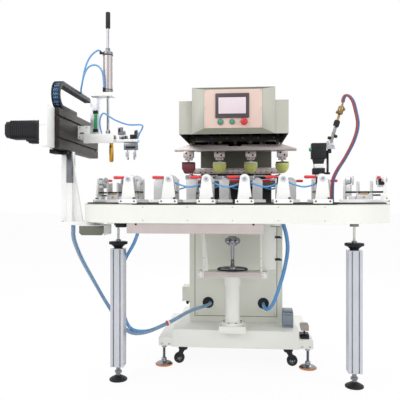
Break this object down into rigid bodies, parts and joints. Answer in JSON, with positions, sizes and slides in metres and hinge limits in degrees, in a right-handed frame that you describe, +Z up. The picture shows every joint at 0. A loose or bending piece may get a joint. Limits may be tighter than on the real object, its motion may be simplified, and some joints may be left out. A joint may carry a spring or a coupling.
{
  "type": "pad printing machine",
  "caption": "Pad printing machine: cabinet with printing head and pads over an oval jig conveyor, with a bottle loader and a flame unit.",
  "frame": {"origin": "middle of the machine's footprint, on the floor", "axes": "+X to the right seen from the front, +Y to the back, +Z up; the control panel faces -Y"},
  "size_m": [2.096, 1.4904, 2.229],
  "materials": {
    "anodised_aluminium": "anodised",
    "black_plastic": "matte",
    "black_rubber": "matte",
    "blue_tubing": "satin tubing",
    "brass": "turned",
    "chrome": "polished",
    "control_panel_foil": "matte foil",
    "cream_paint": "satin powder coat",
    "dark_olive_paint": "satin paint",
    "green_button": "gloss",
    "grey_green_paint": "satin powder coat",
    "machined_aluminium": "machined",
    "red_grip": "gloss",
    "silicone_lime": "matte silicone",
    "white_paint": "satin"
  },
  "bodies": {
    "machine": {"air_hose_left": "blue_tubing", "air_hose_right": "blue_tubing", "arm_neck": "dark_olive_paint", "base_block": "cream_paint", "burner_stand": "black_plastic", "cabinet_front_cover": "grey_green_paint", "cabinet_shell": "grey_green_paint", "chain_drive": "dark_olive_paint", "cliche_bed": "anodised_aluminium", "column_tube": "cream_paint", "control_gear": "black_plastic", "control_panel": "control_panel_foil", "conveyor_apron": "cream_paint", "conveyor_deck": "machined_aluminium", "energy_chain": "black_plastic", "guide_rails": "chrome", "head_housing": "grey_green_paint", "jig_chain": "machined_aluminium", "levelling_foot_front_left": "chrome", "levelling_foot_front_right": "chrome", "levelling_foot_rear_left": "chrome", "levelling_foot_rear_right": "chrome", "lift_frame": "cream_paint", "loader_post": "white_paint", "lower_channel": "anodised_aluminium", "module_end": "white_paint", "servo_motor": "black_plastic", "slide_module": "dark_olive_paint", "stand_foot_left": "black_plastic", "stand_foot_right": "black_plastic", "stand_profile_left": "machined_aluminium", "stand_profile_right": "machined_aluminium", "torch_hose": "red_grip", "touch_screen": "black_plastic"},
    "door": {"rear_door": "grey_green_paint"},
    "pedal": {"foot_pedal": "anodised_aluminium"},
    "start": {"start_button": "green_button"},
    "reset": {"reset_button": "green_button"},
    "stop": {"emergency_stop": "red_grip"},
    "column_wheel": {"column_handwheel": "chrome"},
    "stand_wheel_left": {"stand_handwheel_left": "black_plastic"},
    "stand_wheel_right": {"stand_handwheel_right": "black_plastic"},
    "caster_front_left": {"caster_wheel_front_left": "black_rubber"},
    "caster_front_right": {"caster_wheel_front_right": "black_rubber"},
    "caster_rear_left": {"caster_wheel_rear_left": "black_rubber"},
    "caster_rear_right": {"caster_wheel_rear_right": "black_rubber"},
    "pad_carriage": {"carriage_plate": "black_plastic"},
    "pad_bar": {"pad_beam": "anodised_aluminium", "printing_pad_1": "red_grip", "printing_pad_2": "silicone_lime", "printing_pad_3": "silicone_lime", "printing_pad_4": "silicone_lime"},
    "cup_bar": {"ink_cups": "machined_aluminium"},
    "loader_slide": {"loader_carriage": "white_paint", "lift_cylinder": "machined_aluminium"},
    "loader_arm": {"lift_rod": "machined_aluminium", "gripper_body": "white_paint"},
    "jaw_left": {"gripper_jaw_left": "machined_aluminium"},
    "jaw_right": {"gripper_jaw_right": "machined_aluminium"},
    "torch": {"torch": "brass"}
  },
  "joints": [
    {"name": "rear_door_swing", "type": "hinge", "parent": "machine", "child": "door", "pos_m": [-0.143, 0.7231, 0.27], "axis": [0, 0, 1], "range_deg": [0, 110]},
    {"name": "pedal_press", "type": "hinge", "parent": "machine", "child": "pedal", "pos_m": [0.607, 0.0598, 0.262], "axis": [1, 0, 0], "range_deg": [0, 12], "stiffness_Nm_per_rad": 2, "springref_deg": -8.59},
    {"name": "start_button_press", "type": "slide", "parent": "machine", "child": "start", "axis": [0, 1, 0], "range_m": [0, 0.005], "stiffness_N_per_m": 400},
    {"name": "reset_button_press", "type": "slide", "parent": "machine", "child": "reset", "axis": [0, 1, 0], "range_m": [0, 0.005], "stiffness_N_per_m": 400},
    {"name": "emergency_stop_press", "type": "slide", "parent": "machine", "child": "stop", "axis": [0, 1, 0], "range_m": [0, 0.005]},
    {"name": "column_handwheel_turn", "type": "hinge", "parent": "machine", "child": "column_wheel", "pos_m": [0.141, -0.0002, 0.642], "axis": [0, 0, 1], "continuous": true},
    {"name": "stand_handwheel_left_turn", "type": "hinge", "parent": "machine", "child": "stand_wheel_left", "pos_m": [-0.543, -0.2852, 0.7983], "axis": [0, 0, 1], "continuous": true},
    {"name": "stand_handwheel_right_turn", "type": "hinge", "parent": "machine", "child": "stand_wheel_right", "pos_m": [0.857, -0.2852, 0.7983], "axis": [0, 0, 1], "continuous": true},
    {"name": "caster_front_left_spin", "type": "hinge", "parent": "machine", "child": "caster_front_left", "pos_m": [-0.215, 0.0648, 0.04], "axis": [0, 1, 0], "continuous": true},
    {"name": "caster_front_right_spin", "type": "hinge", "parent": "machine", "child": "caster_front_right", "pos_m": [0.529, 0.0648, 0.04], "axis": [0, 1, 0], "continuous": true},
    {"name": "caster_rear_left_spin", "type": "hinge", "parent": "machine", "child": "caster_rear_left", "pos_m": [-0.215, 0.6548, 0.04], "axis": [0, 1, 0], "continuous": true},
    {"name": "caster_rear_right_spin", "type": "hinge", "parent": "machine", "child": "caster_rear_right", "pos_m": [0.529, 0.6548, 0.04], "axis": [0, 1, 0], "continuous": true},
    {"name": "pad_carriage_slide", "type": "slide", "parent": "machine", "child": "pad_carriage", "axis": [0, -1, 0], "range_m": [-0.12, 0.1]},
    {"name": "pad_stroke", "type": "slide", "parent": "pad_carriage", "child": "pad_bar", "axis": [0, 0, -1], "range_m": [0, 0.03]},
    {"name": "ink_cup_slide", "type": "slide", "parent": "machine", "child": "cup_bar", "axis": [0, -1, 0], "range_m": [-0.055, 0.046]},
    {"name": "loader_traverse", "type": "slide", "parent": "machine", "child": "loader_slide", "axis": [0, 1, 0], "range_m": [-0.25, 0.25]},
    {"name": "loader_lift", "type": "slide", "parent": "loader_slide", "child": "loader_arm", "axis": [0, 0, 1], "range_m": [-0.08, 0.12]},
    {"name": "jaw_left_close", "type": "slide", "parent": "loader_arm", "child": "jaw_left", "axis": [1, 0, 0], "range_m": [0, 0.01]},
    {"name": "jaw_right_close", "type": "slide", "parent": "loader_arm", "child": "jaw_right", "axis": [-1, 0, 0], "range_m": [0, 0.01]},
    {"name": "torch_tilt", "type": "hinge", "parent": "machine", "child": "torch", "pos_m": [0.719, -0.2852, 1.415], "axis": [0, 1, 0], "range_deg": [-15, 15], "deforming": ["torch_hose"]}
  ],
  "couplings": [
    {"joint": "ink_cup_slide", "follows": "pad_carriage_slide", "ratio": 0.45},
    {"joint": "jaw_right_close", "follows": "jaw_left_close", "ratio": 1}
  ]
}
